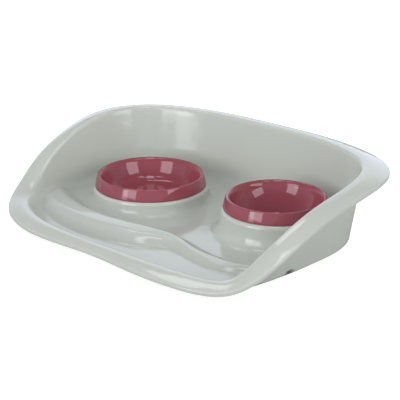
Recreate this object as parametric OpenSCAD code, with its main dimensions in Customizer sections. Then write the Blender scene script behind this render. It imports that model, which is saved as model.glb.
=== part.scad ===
// Double pet bowl: a spill tray with a raised back, and two lift-out bowls.
// Origin at the middle of the tray's footprint, on the surface that it stands on.
// +X to the right, +Y to the back, +Z up.

/* [Tray] */
// Width of the tray over its rim
tray_w = 388; // [370:1:440]
// Depth of the tray over its rim
tray_d = 298; // [285:1:340]
// Height of the rim's crest along the back
back_h = 75; // [62:1:95]
// Height of the rim's crest along the front
front_h = 15.5; // [14.5:0.5:20]
// Thickness of the moulded wall
wall = 2.4; // [2:0.1:2.8]
// Thickness of the floor
floor_t = 2.6; // [2.4:0.1:3.2]
// Width of the flange along the sides
flange_w = 18; // [15:0.5:22]
// Width of the flange at the two back corners
ear_w = 25; // [22:0.5:32]
// How far the flange falls from its crest to its edge
flange_fall = 4; // [2:0.5:6]
// Height of the flange's outer edge
edge_h = 3.6; // [3:0.1:4]
// Slope of the walls, in degrees from upright
draft = 10; // [6:0.5:14]
// Radius where the wall turns over into the flange
turn_r = 7; // [5:0.5:9]
// Radius where the wall runs into the floor
foot_r = 9; // [6:0.5:12]
// How far behind the middle the tray is widest
waist_y = 7; // [0:1:14]
// How far the middle of the front edge is drawn in, where the flange is narrower by as much
front_hollow = 4.4; // [0:0.2:6]
// How much further in the foot of the wall stands at the front corners
corner_tuck = 10; // [0:0.5:12]
// How much further out the foot of the right wall stands
side_spread = 3.4; // [0:0.2:5]

/* [Wave ridge] */
// Height of the ridge over the floor at its highest
ridge_h = 11.2; // [9:0.2:15]
// Share of the way from the ridge's crest to its front foot that its steep face takes
ridge_face_share = 0.6; // [0.5:0.05:1]

/* [Water bowl] */
// Radius of the water bowl's skirt at its foot
water_skirt_r = 60; // [56:0.5:62]
// Height of the water bowl's skirt
water_skirt_h = 12.4; // [11:0.2:16]
// Height of the water bowl's collar on the tray
water_collar_h = 18; // [15:0.2:21]
// Radius of the water bowl's floor inside, as a share of its skirt's radius
water_floor_share = 0.63; // [0.53:0.01:0.68]
// How far the water bowl's collar flares from its shoulder to its foot
water_flare = 8; // [5:0.5:10]

/* [Food bowl] */
// Radius of the food bowl's skirt at its foot
food_skirt_r = 53.5; // [50:0.5:56]
// Height of the food bowl's skirt
food_skirt_h = 12; // [10:0.2:15]
// Height of the food bowl's collar on the tray
food_collar_h = 28.6; // [24:0.2:32]
// Radius of the food bowl's floor inside, as a share of its skirt's radius
food_floor_share = 0.56; // [0.49:0.01:0.62]
// How far the food bowl's collar flares from its shoulder to its foot
food_flare = 13; // [8:0.5:14]

/* [Bowls] */
// How far a bowl's rim stands in from the foot of its skirt
rim_step = 3.6; // [3:0.2:6]
// Thickness of a bowl's wall
bowl_t = 2.4; // [2:0.1:3]
// Height of a bowl's floor over the surface that the tray stands on
bowl_floor_z = 7.5; // [7:0.1:9]
// Clearance between a skirt and its collar
seat_gap = 0.3; // [0.3:0.1:0.6]
// Clearance between a bowl and the well that it drops into
well_gap = 1.2; // [0.6:0.1:2]
// How far a collar's shoulder stands out past the skirt
shoulder = 1.2; // [0.6:0.1:2]

/* [Rubber feet] */
// Radius of a foot
pad_r = 6; // [5:0.5:7]
// Thickness of a foot
pad_t = 2; // [1.6:0.1:2.4]
// How far a foot stands out under the floor
pad_proud = 0.8; // [0.5:0.1:1.2]
// Clearance round a foot in its recess
pad_gap = 0.2; // [0.1:0.05:0.4]

/* [Hidden] */
// Overrun of every cut
over = 1;
// Stations round the tray, and the step of a slope taken on its outline
stations = 96;
slope_step = 1;

// The underside of the floor, and its top
base_z = pad_proud;
floor_z = base_z + floor_t;

// Squareness of the outline: 2 is an ellipse, and more is squarer
back_right_square = 3.2;
back_left_square = 3.5;
front_left_square = 2.6;
front_right_square = 4.8;
// How much deeper the front's outline is taken, as its edge is then drawn in
front_depth_share = 1.0072;

// Places, as shares of half the tray's width and half its depth
water_x_share = -0.382;
water_y_share = 0.148;
food_x_share = 0.459;
food_y_share = 0.225;
pad_x_share = [-0.67, 0.34, -0.38, 0.6];
pad_y_share = [0.5, 0.68, -0.755, -0.73];

// The rim's height round the tray, from the front, anticlockwise seen from above:
// an angle, and the share of the way from the front's height to the back's
rim_rise_share = [
    [-90, 0.02], [-55, 0.02], [-45, 0], [-39, 0.02], [-36, 0.09], [-32, 0.233], [-25, 0.467],
    [-20, 0.6], [-16, 0.68], [-12, 0.75], [-8, 0.8], [-3, 0.85], [8, 0.935], [18, 0.985],
    [28, 1], [160, 1], [166.5, 0.975], [173, 0.917], [180, 0.783], [187, 0.617],
    [194, 0.417], [202, 0.128], [212, 0], [235, 0], [250, 0.02], [270, 0.02]
];
// Samples on each side, and their step, that round the rise off
soft_count = 5;
soft_step = 1.3;
// The direction of a back corner, and how far to each side its wide flange reaches
ear_angle = 38;
ear_reach = 38;
// The same of a front corner, where the foot of the wall is tucked in
tuck_angle = 36;
tuck_reach = 30;
// The same of the right wall, where its foot stands further out
spread_angle = 8;
spread_reach = 26;
// The same of the front edge, where it is drawn in
hollow_angle = 88;
hollow_reach = 34;

// The ridge from the left wall to the right one, as shares of half the tray's width
// and half its depth: its crest, its foot behind and its foot in front
crest_share = [
    [-0.905, -0.19], [-0.785, -0.285], [-0.64, -0.373], [-0.5, -0.434], [-0.37, -0.464],
    [-0.21, -0.475], [-0.08, -0.448], [0.04, -0.42], [0.125, -0.385], [0.21, -0.38],
    [0.325, -0.45], [0.46, -0.475], [0.61, -0.47], [0.755, -0.36], [0.895, -0.2]
];
back_share = [
    [-0.86, -0.07], [-0.735, -0.18], [-0.59, -0.262], [-0.46, -0.325], [-0.34, -0.355],
    [-0.19, -0.362], [-0.045, -0.34], [0.075, -0.31], [0.14, -0.295], [0.225, -0.3],
    [0.35, -0.355], [0.465, -0.37], [0.6, -0.37], [0.726, -0.317], [0.871, -0.164]
];
front_share = [
    [-0.95, -0.3], [-0.84, -0.47], [-0.685, -0.57], [-0.52, -0.655], [-0.355, -0.7],
    [-0.19, -0.7], [-0.06, -0.675], [0.04, -0.64], [0.115, -0.56], [0.19, -0.47],
    [0.305, -0.515], [0.435, -0.555], [0.605, -0.605], [0.784, -0.403], [0.919, -0.236]
];
// The ridge's height there, as shares of its greatest
ridge_h_share = [0.5, 0.62, 0.74, 0.86, 0.95, 1, 0.98, 0.9, 0.76, 0.64, 0.56, 0.52, 0.5, 0.46, 0.42];
// Steps between two of those places, and steps up and down the ridge
ridge_steps = 3;
slope_steps = 8;
// The place from which the ridge is hollow
hollow_from = 2.4;

plastic = [0.72, 0.75, 0.72];
berry = [0.55, 0.24, 0.31];
rubber = [0.2, 0.2, 0.2];

water_at = [water_x_share * tray_w / 2, water_y_share * tray_d / 2];
food_at = [food_x_share * tray_w / 2, food_y_share * tray_d / 2];
water_rim_r = water_skirt_r - rim_step;
food_rim_r = food_skirt_r - rim_step;
water_floor_r = water_floor_share * water_skirt_r;
food_floor_r = food_floor_share * food_skirt_r;

// Unit vector, and a vector turned a quarter turn clockwise
function unit(v) = v / norm(v);
function turned(v) = [v[1], -v[0]];

// The smooth weights of four places in a row, for a point between the middle two
function blend_weights(f) = [
    (1 - f) ^ 3 / 6,
    (3 * f ^ 3 - 6 * f ^ 2 + 4) / 6,
    (-3 * f ^ 3 + 3 * f ^ 2 + 3 * f + 1) / 6,
    f ^ 3 / 6
];
// A smooth curve along a list, whose ends run straight on
function held(list, i) =
    i < 0 ? 2 * list[0] - list[1]
    : i >= len(list) ? 2 * list[len(list) - 1] - list[len(list) - 2]
    : list[i];
function along(list, t) =
    let (i = min(floor(t), len(list) - 2), w = blend_weights(t - i))
    w[0] * held(list, i - 1) + w[1] * held(list, i) + w[2] * held(list, i + 1) + w[3] * held(list, i + 2);

// The outer edge of the rim, seen from above
function squareness(a) =
    a < 0 ? front_right_square : a < 90 ? back_right_square : a < 180 ? back_left_square : front_left_square;
function drawn_in(a) = front_hollow * (swell(a, -hollow_angle, hollow_reach) + swell(a, 360 - hollow_angle, hollow_reach));
function reach(a) =
    let (n = squareness(a), back = a >= 0 && a <= 180,
        depth = back ? tray_d / 2 - waist_y : (tray_d / 2 + waist_y) * front_depth_share)
    1 / pow(pow(abs(cos(a)) * 2 / tray_w, n) + pow(abs(sin(a)) / depth, n), 1 / n) - drawn_in(a);
function edge_at(a) = [reach(a) * cos(a), waist_y + reach(a) * sin(a)];
function inward(a) = unit(turned(edge_at(a - slope_step) - edge_at(a + slope_step)));
function station_angle(i) = -90 + 360 * i / stations;

// How high the rim stands, and how wide its flange is
function rise(a) =
    let (total = (soft_count + 1) ^ 2)
    sum_of([for (k = [-soft_count : soft_count])
        (soft_count + 1 - abs(k)) * lookup(a + k * soft_step, rim_rise_share)]) / total;
function sum_of(list, i = 0) = i >= len(list) ? 0 : list[i] + sum_of(list, i + 1);
function crest_z(a) = front_h + (back_h - front_h) * rise(a);
function swell(a, middle, reach) = abs(a - middle) < reach ? (1 + cos(180 * (a - middle) / reach)) / 2 : 0;
function ear(a) = swell(a, ear_angle, ear_reach) + swell(a, 180 - ear_angle, ear_reach);
function tuck(a) = swell(a, -tuck_angle, tuck_reach) + swell(a, 180 + tuck_angle, tuck_reach);
function flange_at(a) = flange_w + (ear_w - flange_w) * ear(a) - drawn_in(a);
function fall_at(a) = flange_fall * flange_at(a) / flange_w;

// The wall turns into the flange and the floor in less room where it is low
function turn_at(a) = min(turn_r, 0.5 * (crest_z(a) - floor_z));
function foot_at(a) = min(foot_r, 0.42 * (crest_z(a) - floor_z));
function lean(a) =
    tan(draft) + (corner_tuck * tuck(a) - side_spread * swell(a, spread_angle, spread_reach)) / (crest_z(a) - floor_z);
function wall_inset(a, z) = flange_at(a) + turn_at(a) / 2 + (crest_z(a) - z) * lean(a);
function foot_inset(a) = wall_inset(a, floor_z);

// Sections through the rim and the wall: how far in from the edge, and how high
function bend(p, q, r, f) = (1 - f) ^ 2 * p + 2 * f * (1 - f) * q + f ^ 2 * r;
function upper_section(a) =
    let (zc = crest_z(a), w = flange_at(a), t = turn_at(a), r = foot_at(a), f = fall_at(a))
    concat(
        [for (k = [0 : 4]) bend([foot_inset(a) + r, floor_z], [foot_inset(a), floor_z],
            [wall_inset(a, floor_z + r), floor_z + r], k / 4)],
        [for (k = [0 : 4]) bend([wall_inset(a, zc - t), zc - t],
            [w + t * 0.4, zc + wall * 0.1], [w - t * 0.6, zc], k / 4)],
        [[w * 0.35, zc - f * 0.42], [wall * 0.5, zc - f * 0.95], [0, zc - f - wall * 0.35]]
    );
function lower_section(a) =
    let (zc = crest_z(a), w = flange_at(a), t = turn_at(a), f = fall_at(a))
    concat(
        [[0, zc - f - edge_h], [wall * 0.7, zc - f - edge_h], [wall, zc - f - wall], [w * 0.5, zc - wall - f * 0.3]],
        [for (k = [0 : 3]) bend([w - t * 0.8, zc - wall], [w + t * 0.4 - wall, zc - wall],
            [wall_inset(a, zc - t - wall) - wall, zc - t - wall], k / 3)],
        [[foot_inset(a) - wall, floor_z], [foot_inset(a), base_z]]
    );
function section(a) = concat(upper_section(a), lower_section(a));
function place(a, p) = let (e = edge_at(a) + inward(a) * p[0]) [e[0], e[1], p[1]];

// A solid through rings of points, closed by a flat face at each end
module through_rings(rings) {
    n = len(rings[0]);
    m = len(rings);
    points = [for (ring = rings) each ring];
    sides = [for (j = [0 : m - 2], i = [0 : n - 1]) let (k = (i + 1) % n)
        each [[j * n + i, j * n + k, (j + 1) * n + k], [j * n + i, (j + 1) * n + k, (j + 1) * n + i]]];
    start = [[for (i = [n - 1 : -1 : 0]) i]];
    finish = [[for (i = [0 : n - 1]) (m - 1) * n + i]];
    polyhedron(points, concat(sides, start, finish));
}

// Rim, walls and floor as one thin shell
module shell() {
    sections = [for (i = [0 : stations - 1]) section(station_angle(i))];
    through_rings([for (j = [0 : len(sections[0]) - 1])
        [for (i = [0 : stations - 1]) place(station_angle(i), sections[i][j])]]);
}

// All that lies inside the middle of the wall, up to above the ridge
module inside_walls() {
    top = floor_z + ridge_h + over;
    through_rings([for (z = [top, base_z + floor_t / 4])
        [for (i = [0 : stations - 1]) let (a = station_angle(i)) place(a, [wall_inset(a, z) - wall / 2, z])]]);
}

// The ridge's height on its front side, from its crest (0) to its foot (1): a top that falls
// a little, then the steep face
top_fall = 0.12;
function face_height(f) =
    top_fall * (1 - f) + (1 - top_fall) * (1 + cos(180 * max(0, 1 - (1 - f) / ridge_face_share))) / 2;

// A length of ridge with a rounded top, its bottom at one level
function half_tray(p) = [p[0] * tray_w / 2, p[1] * tray_d / 2];
function nearer(p, q, d) = p + unit(q - p) * d;
module ridge(from, thinner, bottom) {
    last = len(crest_share) - 1;
    steps = round((last - from) * ridge_steps);
    skirting = 1.3 * thinner;
    through_rings([for (i = [steps : -1 : 0])
        let (
            t = from + (last - from) * i / steps,
            top = half_tray(along(crest_share, t)),
            back = nearer(half_tray(along(back_share, t)), top, skirting),
            front = nearer(half_tray(along(front_share, t)), top, skirting),
            h = along(ridge_h_share, t) * ridge_h - thinner
        )
        concat(
            [for (k = [0 : slope_steps]) let (f = k / slope_steps, p = back + (top - back) * f)
                [p[0], p[1], floor_z + h * (1 - cos(180 * f)) / 2]],
            [for (k = [1 : slope_steps]) let (f = k / slope_steps, p = top + (front - top) * f)
                [p[0], p[1], floor_z + h * face_height(f)]],
            [[front[0], front[1], bottom], [back[0], back[1], bottom]]
        )]);
}

// Inside of a bowl's basin, from its floor (0) to its rim (1), and its radius at a height
side_bow = 0.62;
side_rise = 1.15;
function basin_r(rim_r, floor_r, f) = floor_r + (rim_r - bowl_t - floor_r) * pow(f, side_bow);
function basin_z(top, f) = bowl_floor_z + (top - bowl_floor_z) * pow(f, side_rise);
function basin_r_at(rim_r, floor_r, top, z) =
    basin_r(rim_r, floor_r, pow((z - bowl_floor_z) / (top - bowl_floor_z), 1 / side_rise));
function rim_z(skirt_h, collar_h) = collar_h + seat_gap + skirt_h;
function well_r(rim_r, floor_r, skirt_h, collar_h) =
    basin_r_at(rim_r, floor_r, rim_z(skirt_h, collar_h) - curl, collar_h + under) + bowl_t + well_gap;

// The collar that a bowl drops into: shoulder, flared side and the well inside it
module collar(skirt_r, hole_r, h, flare) {
    r = skirt_r + shoulder;
    neck = [r + flare * 0.08, h - 3 * shoulder];
    rotate_extrude($fn = 96)
        polygon(concat(
            [[hole_r, floor_z - floor_t / 2], [r + flare, floor_z - floor_t / 2]],
            [for (k = [0 : 8]) bend([r + flare, floor_z], [r + flare * 0.1, floor_z], neck, k / 8)],
            [for (k = [1 : 5]) bend(neck, [r, h], [r - 2 * shoulder, h], k / 5)],
            [[hole_r + shoulder, h], [hole_r, h - shoulder]]
        ));
}
module collar_hollow(skirt_r, hole_r, h, flare) {
    r = skirt_r + shoulder - wall;
    foot = [r + flare * 0.5, base_z];
    rotate_extrude($fn = 96)
        polygon(concat(
            [[hole_r + wall, base_z - over], foot - [0, over]],
            [for (k = [0 : 6]) bend(foot, [r, base_z], [r, h - wall - shoulder], k / 6)],
            [[r - shoulder, h - wall], [hole_r + wall, h - wall]]
        ));
}

// A bowl: basin, rounded rim and the skirt turned down outside it
curl = 0.75 * bowl_t;
under = 0.3 * bowl_t;
module bowl(skirt_r, rim_r, floor_r, skirt_h, collar_h) {
    foot = collar_h + seat_gap;
    top = rim_z(skirt_h, collar_h);
    in_r = rim_r - bowl_t;
    side = [for (k = [0 : 12]) [basin_r(rim_r, floor_r, k / 12), basin_z(top - curl, k / 12)]];
    lip = [rim_r - curl / 2, top];
    shoulder_at = [rim_r + curl, top - 1.4 * curl];
    inner_foot = [skirt_r - bowl_t, foot];
    stand = [floor_r, bowl_floor_z - bowl_t - 2 * under];
    rotate_extrude($fn = 96)
        polygon(concat(
            [[0, bowl_floor_z]],
            side,
            [for (k = [1 : 5]) bend([in_r, top - curl], [in_r, top], lip, k / 5)],
            [for (k = [1 : 5]) bend(lip, [rim_r + curl / 2, top], shoulder_at, k / 5)],
            [for (k = [1 : 6]) bend(shoulder_at, [skirt_r - curl / 5, foot + skirt_h / 2], [skirt_r, foot], k / 6)],
            [for (k = [0 : 6]) bend(inner_foot, inner_foot + [0, skirt_h / 2], [rim_r - under, top - 2 * curl], k / 6)],
            [for (k = [10 : -1 : 1]) side[k] + [bowl_t, -under]],
            [stand + [bowl_t, bowl_t], stand, stand - [bowl_t, 0], stand - [1.5 * bowl_t, -2 * under]],
            [[0, bowl_floor_z - bowl_t]]
        ));
}

module tray() {
    water_hole = well_r(water_rim_r, water_floor_r, water_skirt_h, water_collar_h);
    food_hole = well_r(food_rim_r, food_floor_r, food_skirt_h, food_collar_h);
    color(plastic)
        difference() {
            union() {
                shell();
                intersection() {
                    ridge(0, 0, base_z + floor_t / 2);
                    inside_walls();
                }
                translate(water_at) collar(water_skirt_r, water_hole, water_collar_h, water_flare);
                translate(food_at) collar(food_skirt_r, food_hole, food_collar_h, food_flare);
            }
            ridge(hollow_from, wall, base_z - over);
            translate(water_at) collar_hollow(water_skirt_r, water_hole, water_collar_h, water_flare);
            translate(food_at) collar_hollow(food_skirt_r, food_hole, food_collar_h, food_flare);
            for (i = [0 : len(pad_x_share) - 1])
                translate([pad_x_share[i] * tray_w / 2, pad_y_share[i] * tray_d / 2, base_z - over])
                    cylinder(h = over + pad_t - pad_proud, r = pad_r + pad_gap, $fn = 32);
        }
}
module water_bowl() {
    color(berry) translate(water_at) bowl(water_skirt_r, water_rim_r, water_floor_r, water_skirt_h, water_collar_h);
}
module food_bowl() {
    color(berry) translate(food_at) bowl(food_skirt_r, food_rim_r, food_floor_r, food_skirt_h, food_collar_h);
}
module rubber_feet() {
    color(rubber)
        for (i = [0 : len(pad_x_share) - 1])
            translate([pad_x_share[i] * tray_w / 2, pad_y_share[i] * tray_d / 2, 0])
                cylinder(h = pad_t, r = pad_r, $fn = 32);
}

tray();
water_bowl();
food_bowl();
rubber_feet();
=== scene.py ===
# %% [markdown]
# # A double pet bowl in its spill tray
# Two glossy bowls of different size hang in round collars on a moulded tray. The tray has a
# rim that sweeps from a low front to a high back, and a wave-shaped ridge that keeps spills
# away from the front edge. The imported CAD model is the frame: every piece built here sits in
# the same place, and rides on one of its bodies.

# %% Load the frame
import math

import bmesh
import bpy
import numpy as np
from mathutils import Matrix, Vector
from mathutils.bvhtree import BVHTree
from mathutils.geometry import delaunay_2d_cdt
from mathutils.kdtree import KDTree


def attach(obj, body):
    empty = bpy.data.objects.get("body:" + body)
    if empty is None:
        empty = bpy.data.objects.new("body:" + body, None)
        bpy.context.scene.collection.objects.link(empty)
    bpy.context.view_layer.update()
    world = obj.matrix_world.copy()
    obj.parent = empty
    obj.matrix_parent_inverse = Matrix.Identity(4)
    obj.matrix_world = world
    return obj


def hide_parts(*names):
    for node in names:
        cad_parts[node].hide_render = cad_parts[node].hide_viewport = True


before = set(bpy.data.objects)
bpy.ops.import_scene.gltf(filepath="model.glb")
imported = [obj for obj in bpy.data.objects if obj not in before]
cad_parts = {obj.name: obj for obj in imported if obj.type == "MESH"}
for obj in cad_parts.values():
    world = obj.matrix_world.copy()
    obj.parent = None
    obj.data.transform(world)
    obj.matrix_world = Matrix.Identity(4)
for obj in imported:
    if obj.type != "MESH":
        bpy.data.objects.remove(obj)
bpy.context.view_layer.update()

MM = 0.001


print("CAD nodes:", sorted(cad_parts))

# %% [markdown]
# ## Small helpers
# Most shapes here are drawn as a section first: a row of points that is later swept or turned.
# A quadratic bend rounds a corner between two lines, and a smooth blend draws one even curve
# through a few given points. All lengths are in mm until a mesh is made.

# %% Helpers for sections
def bend(start, corner, end, share):
    """A point on the rounded corner between start and end; share runs from 0 to 1."""
    start, corner, end, s = (np.asarray(value, float) for value in (start, corner, end, share))
    s = s.reshape(s.shape + (1,) * start.ndim)
    return (1 - s) ** 2 * start + 2 * s * (1 - s) * corner + s ** 2 * end


def smooth_blend(places, t):
    """A smooth curve near a row of places, at t = 0 for the first; straight past both ends."""
    p = np.asarray(places, float)
    before = [3 * p[0] - 2 * p[1], 2 * p[0] - p[1]]
    after = [2 * p[-1] - p[-2], 3 * p[-1] - 2 * p[-2]]
    p = np.concatenate([before, p, after])
    t = np.asarray(t, float) + len(before)
    i = np.clip(np.floor(t).astype(int), 1, len(p) - 3)
    f = (t - i)[:, None] if p.ndim == 2 else t - i
    return (
        (1 - f) ** 3 / 6 * p[i - 1] + (3 * f ** 3 - 6 * f ** 2 + 4) / 6 * p[i]
        + (-3 * f ** 3 + 3 * f ** 2 + 3 * f + 1) / 6 * p[i + 1] + f ** 3 / 6 * p[i + 2]
    )


# %% [markdown]
# ## The tray's outline
# Seen from above the tray is a rounded rectangle whose corners differ: the back ones are
# broad, the front left one is very round and the front right one is tight. A superellipse
# draws that with one number for each corner. The number is its squareness: 2 is an ellipse,
# and more is squarer. The middle of the front edge is then drawn in a little. Angles are in
# degrees, anticlockwise from the right side.

# %% Outline of the rim
TRAY_W, TRAY_D = 388.0, 298.0
WAIST_Y = 7.0  # the line across the tray where its front half and its back half meet
BACK_RIGHT_SQUARE, BACK_LEFT_SQUARE = 3.2, 3.5
FRONT_LEFT_SQUARE, FRONT_RIGHT_SQUARE = 2.6, 4.8
FRONT_HOLLOW, HOLLOW_ANGLE, HOLLOW_REACH = 4.4, -88, 34
FRONT_DEPTH_SHARE = 1.0068  # makes up for the depth that the hollow takes


def swell(angle, middle, reach):
    """1 at the middle angle, falling smoothly to 0 at reach degrees to each side of it."""
    off = np.abs((np.asarray(angle, float) - middle + 180) % 360 - 180) / reach
    return np.where(off < 1, (1 + np.cos(np.pi * off)) / 2, 0)


def drawn_in(angle):
    return FRONT_HOLLOW * swell(angle, HOLLOW_ANGLE, HOLLOW_REACH)


def rim_edge(angle):
    """Outer edge of the rim at each angle."""
    a = np.radians(angle)
    c, s = np.cos(a), np.sin(a)
    back = np.where(c < 0, BACK_LEFT_SQUARE, BACK_RIGHT_SQUARE)
    front = np.where(c < 0, FRONT_LEFT_SQUARE, FRONT_RIGHT_SQUARE)
    square = np.where(s >= 0, back, front)
    depth = np.where(s >= 0, TRAY_D / 2 - WAIST_Y, (TRAY_D / 2 + WAIST_Y) * FRONT_DEPTH_SHARE)
    reach = np.abs(c * 2 / TRAY_W) ** square + np.abs(s / depth) ** square
    reach = reach ** (-1 / square) - drawn_in(angle)
    return np.stack([reach * c, WAIST_Y + reach * s], -1)


def rim_inward(angle):
    """Unit vector from the rim's edge into the tray."""
    along = rim_edge(np.asarray(angle) - 1) - rim_edge(np.asarray(angle) + 1)
    inward = np.stack([along[..., 1], -along[..., 0]], -1)
    return inward / np.linalg.norm(inward, axis=-1, keepdims=True)


# The stations are closer together where the ridge's hollow comes out through the right wall.
station = np.unique(np.concatenate([np.arange(-90, 270, 1.0), np.arange(-26, -8, 0.25)]))
edge, inward = rim_edge(station), rim_inward(station)
print("stations round the tray:", len(station))

# %% [markdown]
# ## The sweep of the rim
# The rim is 75 mm high at the back and 15.5 mm at the front. The share of that rise is given
# at a few angles, and averaged over a few degrees each way, so that the gloss runs over it
# without a kink. The flange is widest at the two back corners, where a hand takes the tray.

# %% Height and width of the rim
BACK_H, FRONT_H = 75.0, 15.5
FLANGE_W, EAR_W = 18.0, 25.0
FLANGE_FALL = 4.0  # how much lower than its crest the flange is at its outer edge
EDGE_H = 3.6  # height of the lip that is turned down there
WALL, FLOOR_T, BASE_Z = 2.4, 2.6, 0.8
FLOOR_Z = BASE_Z + FLOOR_T
EVEN_OUT = 9  # degrees to each side over which the rise is averaged
EAR_ANGLES, EAR_REACH = (38, 142), 38
TUCK, TUCK_ANGLES, TUCK_REACH = 10, (-36, 216), 30
SIDE_OUT, SIDE_ANGLE, SIDE_REACH = 3.4, 8, 26
rise = np.array([
    (-90, 0.02), (-55, 0.02), (-45, 0), (-39, 0.02), (-36, 0.09), (-32, 0.233), (-25, 0.467),
    (-20, 0.6), (-16, 0.68), (-12, 0.75), (-8, 0.8), (-3, 0.85), (8, 0.935), (18, 0.985),
    (28, 1), (160, 1), (166.5, 0.975), (173, 0.917), (180, 0.783), (187, 0.617), (194, 0.417),
    (202, 0.128), (212, 0), (235, 0), (250, 0.02), (270, 0.02),
])


def crest_height(angle):
    spread = np.linspace(-EVEN_OUT, EVEN_OUT, 37)
    weight = np.cos(np.radians(spread * 90 / EVEN_OUT)) ** 2
    looked_up = np.interp(angle[:, None] + spread, *rise.T)
    return FRONT_H + (BACK_H - FRONT_H) * (looked_up * weight).sum(1) / weight.sum()


crest = crest_height(station)
ears = sum(swell(station, angle, EAR_REACH) for angle in EAR_ANGLES)
flange = FLANGE_W + (EAR_W - FLANGE_W) * ears - drawn_in(station)
fall = FLANGE_FALL * flange / FLANGE_W
# At the front corners the wall's foot is tucked in; at the right side it is let out.
tuck = TUCK * sum(swell(station, angle, TUCK_REACH) for angle in TUCK_ANGLES)
tuck = tuck - SIDE_OUT * swell(station, SIDE_ANGLE, SIDE_REACH)
print("crest from", crest.min().round(1), "to", crest.max().round(1), "mm")
print("flange up to", flange.max().round(1), "mm")

# %% [markdown]
# ## Section through rim and wall
# From outside to inside: a turned-down lip, a flange that rises in a shallow curve to its
# crest, a tight turn, a wall that leans out by ten degrees so that the moulding leaves its
# mould, and a round foot. The same rows of points are made once for the upper side and once
# for the underside.

# %% Upper rows of the rim and the wall
EDGE_TURN = 3.6  # size of the turn at the flange's inner edge
LIP_IN, ARCH_POWER = 2.4, 1.42
WALL_ROWS, FOOT_ROWS = 13, 10
turn = np.minimum(7.0, 0.5 * (crest - FLOOR_Z))
foot = np.minimum(9.0, 0.42 * (crest - FLOOR_Z))
lean = math.tan(math.radians(10)) + tuck / (crest - FLOOR_Z)


def wall_inset(z):
    return flange + turn / 2 + (crest - z) * lean


def row(inset, height):
    """One row: an inset from the rim's edge and a height at each station."""
    return np.stack([0 * crest + inset, 0 * crest + height])


def rim_rows():
    """Upper rows for all stations, from the lip to the floor."""
    crown = flange - 0.6 * turn

    def arch(inset):
        return row(inset, crest - fall * np.abs(1 - inset / crown) ** ARCH_POWER)

    rows = [row(0, crest - fall - EDGE_H * share) for share in (1, 0.8, 0.5)]
    lip_start = row(0, crest - fall - EDGE_H * 0.35)
    lip_corner = row(0.1, crest - fall + 0.25)
    rows += list(bend(lip_start, lip_corner, arch(LIP_IN), np.linspace(0, 1, 7)))
    rows += [arch(LIP_IN + (crown - LIP_IN) * share) for share in np.linspace(0, 1, 13)[1:]]
    corner = row(wall_inset(crest), crest)
    turn_start = corner - row(EDGE_TURN, 0)
    turn_end = row(wall_inset(crest - EDGE_TURN), crest - EDGE_TURN)
    rows += [row(crown + (turn_start[0] - crown) * share, crest) for share in (0.4, 0.8)]
    rows += list(bend(turn_start, corner, turn_end, np.linspace(0, 1, 10)))
    wall_foot = FLOOR_Z + foot
    for share in np.linspace(0, 1, WALL_ROWS + 1)[1:]:
        z = (crest - EDGE_TURN) * (1 - share) + wall_foot * share
        rows.append(row(wall_inset(z), z))
    foot_in = wall_inset(FLOOR_Z)
    wall_end, floor_start = row(wall_inset(wall_foot), wall_foot), row(foot_in + foot, FLOOR_Z)
    shares = np.linspace(0, 1, FOOT_ROWS + 1)[1:]
    rows += list(bend(wall_end, row(foot_in, FLOOR_Z), floor_start, shares))
    return np.array(rows)


upper_rows = rim_rows()
print("rows from lip to floor:", len(upper_rows))


# %% Rows of the underside
def under_rows():
    """The same rows on the underside: a wall's thickness away, with a crisp outer foot."""
    step = np.gradient(upper_rows, axis=0)
    step /= np.linalg.norm(step, axis=1, keepdims=True) + 1e-9
    rows = upper_rows + WALL * np.stack([step[:, 1], -step[:, 0]], 1)
    rows[0, 1] = rows[1, 1] = upper_rows[0, 1]
    rows[0, 0] = WALL
    foot_in = wall_inset(FLOOR_Z)
    top = row(wall_inset(FLOOR_Z + foot) - WALL, FLOOR_Z + foot)
    low = row(foot_in - WALL, FLOOR_Z - 0.4)
    corner = row(foot_in - WALL * 0.9, BASE_Z)
    inside = row(foot_in + 0.4, BASE_Z)
    end = row(foot_in + foot, BASE_Z)
    quarters = (0.25, 0.5, 0.75, 1)
    path = [top * (1 - s) + low * s for s in quarters]
    path += list(bend(low, corner, inside, quarters))
    path += [inside * 0.5 + end * 0.5, end]
    rows[-FOOT_ROWS:] = path
    return rows


def placed(rows):
    """Insets and heights turned into points in the tray's frame: rows x stations x 3."""
    xy = edge[None] + inward[None] * rows[:, 0, :, None]
    return np.concatenate([xy, rows[:, 1, :, None]], -1)


upper_ring, under_ring = placed(upper_rows), placed(under_rows())
print("points in these rows:", 2 * len(upper_rows) * len(station))

# %% [markdown]
# ## The wave ridge
# The ridge starts high at the left wall, swells, swings round the gap between the bowls and
# runs low into the right wall. It is drawn by three smooth curves seen from above: its crest
# and its two feet. Behind the crest it falls in one soft slope. In front its top runs on a
# little lower, and then drops in a steeper face to a clear foot. It could be sculpted, but a
# curve can be moved point by point, and its gloss stays even. Rays cast down on the surface
# through the curves give its height at any point of the floor.

# %% Lines of the ridge
RIDGE_H = 11.2
TOP_FALL = 0.12  # share of the height by which the top falls before the face
FACE_SHARE = 0.6  # share of the way from the crest to the front foot that the face takes
half_tray = np.array([TRAY_W / 2, TRAY_D / 2])
crest_share = [
    [-0.905, -0.19], [-0.785, -0.285], [-0.64, -0.373], [-0.5, -0.434], [-0.37, -0.464],
    [-0.21, -0.475], [-0.08, -0.448], [0.04, -0.42], [0.125, -0.385], [0.21, -0.38],
    [0.325, -0.45], [0.46, -0.475], [0.61, -0.47], [0.755, -0.36], [0.895, -0.2],
]
back_share = [
    [-0.86, -0.07], [-0.735, -0.18], [-0.59, -0.262], [-0.46, -0.325], [-0.34, -0.355],
    [-0.19, -0.362], [-0.045, -0.34], [0.075, -0.31], [0.14, -0.295], [0.225, -0.3],
    [0.35, -0.355], [0.465, -0.37], [0.6, -0.37], [0.726, -0.317], [0.871, -0.164],
]
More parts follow.
